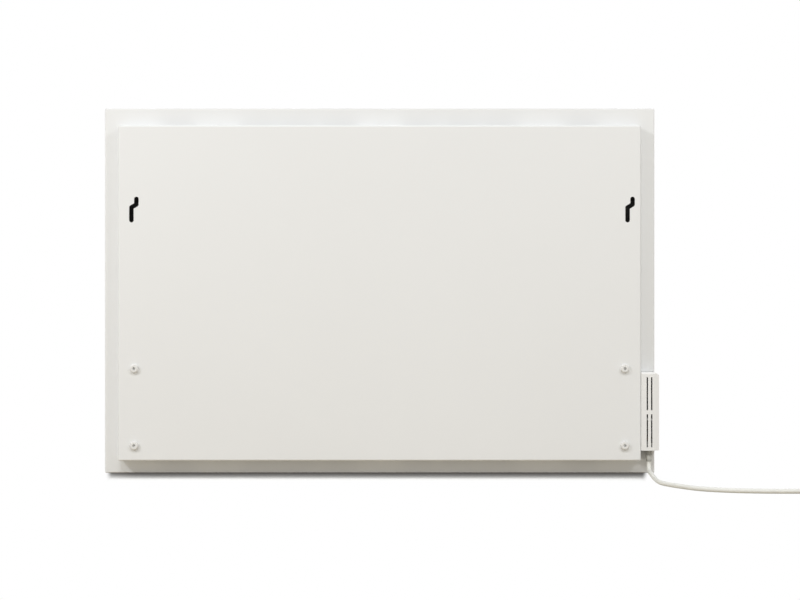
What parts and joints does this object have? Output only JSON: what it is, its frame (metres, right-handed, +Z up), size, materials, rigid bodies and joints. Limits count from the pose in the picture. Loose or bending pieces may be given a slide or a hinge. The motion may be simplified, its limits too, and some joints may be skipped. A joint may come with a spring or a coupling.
{
  "type": "wall panel convector heater",
  "caption": "Slim white wall-hung convector heater: folded front panel, rear casing with Z-shaped hook slots and wall bumpers, side control housing with keys and rocker, mains cord and plug.",
  "frame": {"origin": "on the casing's rear face, midway between the two hanging slots, at the height where the hooks seat", "axes": "+X along the width, away from the control housing; +Y from the room to the wall; +Z up"},
  "size_m": [1.2033, 0.2941, 0.597],
  "materials": {
    "white_paint": "fine-textured white powder coat",
    "white_plastic": "white moulded plastic with a fine grain",
    "grey_plastic": "pale grey moulded plastic",
    "dark_plastic": "black moulded plastic",
    "smoked_window": "smoked clear plastic",
    "zinc_steel": "zinc-plated steel",
    "stainless": "stainless steel sheath",
    "bare_aluminium": "mill-finish aluminium",
    "brass": "bright brass",
    "ceramic": "unglazed steatite ceramic",
    "black_rubber": "moulded rubber",
    "board": "green circuit board laminate",
    "wire_jacket": "silicone wire insulation",
    "earth_jacket": "green and yellow wire insulation",
    "cord_jacket": "white flexible cord sheath",
    "nickel": "nickel-plated brass"
  },
  "bodies": {
    "heater": {"front_panel": "white_paint", "rear_casing": "white_paint", "wall_bumper_lower_left": "white_plastic", "wall_bumper_lower_right": "white_plastic", "wall_bumper_upper_left": "white_plastic", "wall_bumper_upper_right": "white_plastic", "control_housing": "white_plastic", "vent_cover": "white_plastic", "plug_body": "white_plastic", "strain_relief": "grey_plastic", "cord_clamp": "grey_plastic", "switch_frame": "dark_plastic", "board_relay": "dark_plastic", "board_capacitor": "dark_plastic", "display_module": "dark_plastic", "key_switches": "dark_plastic", "cord_tie": "dark_plastic", "display_window": "smoked_window", "panel_brackets": "zinc_steel", "casing_screws": "zinc_steel", "bumper_screws": "zinc_steel", "clinch_nuts": "zinc_steel", "element_hanger_left": "zinc_steel", "element_hanger_right": "zinc_steel", "housing_screws": "zinc_steel", "clamp_screws": "zinc_steel", "heater_rod": "stainless", "heater_core": "bare_aluminium", "heat_shield": "bare_aluminium", "thermal_limiter": "bare_aluminium", "limiter_rivets": "bare_aluminium", "earth_stud": "brass", "earth_nut": "brass", "earth_ring": "brass", "rod_terminals": "brass", "hanger_bushes": "ceramic", "rod_insulators": "ceramic", "room_sensor": "ceramic", "wire_grommet": "black_rubber", "control_board": "board", "supply_terminals": "board", "load_terminals": "board", "load_wires": "wire_jacket", "link_wire": "wire_jacket", "supply_wires": "wire_jacket", "wire_clips": "wire_jacket", "earth_wire": "earth_jacket", "inner_lead": "cord_jacket", "power_cord": "cord_jacket", "cord_coil": "cord_jacket", "cord_tail": "cord_jacket", "plug_pins": "nickel"},
    "key_power": {"key_power": "grey_plastic"},
    "key_minus": {"key_minus": "grey_plastic"},
    "key_plus": {"key_plus": "grey_plastic"},
    "rocker": {"switch_rocker": "grey_plastic"}
  },
  "joints": [
    {"name": "key_power_press", "type": "slide", "parent": "heater", "child": "key_power", "axis": [1, 0, 0], "range_m": [0, 0.0006], "stiffness_N_per_m": 600},
    {"name": "key_minus_press", "type": "slide", "parent": "heater", "child": "key_minus", "axis": [1, 0, 0], "range_m": [0, 0.0006], "stiffness_N_per_m": 600},
    {"name": "key_plus_press", "type": "slide", "parent": "heater", "child": "key_plus", "axis": [1, 0, 0], "range_m": [0, 0.0006], "stiffness_N_per_m": 600},
    {"name": "rocker_tilt", "type": "hinge", "parent": "heater", "child": "rocker", "pos_m": [-0.4494, -0.0113, -0.38], "axis": [0, 1, 0], "range_deg": [0, 14]}
  ]
}
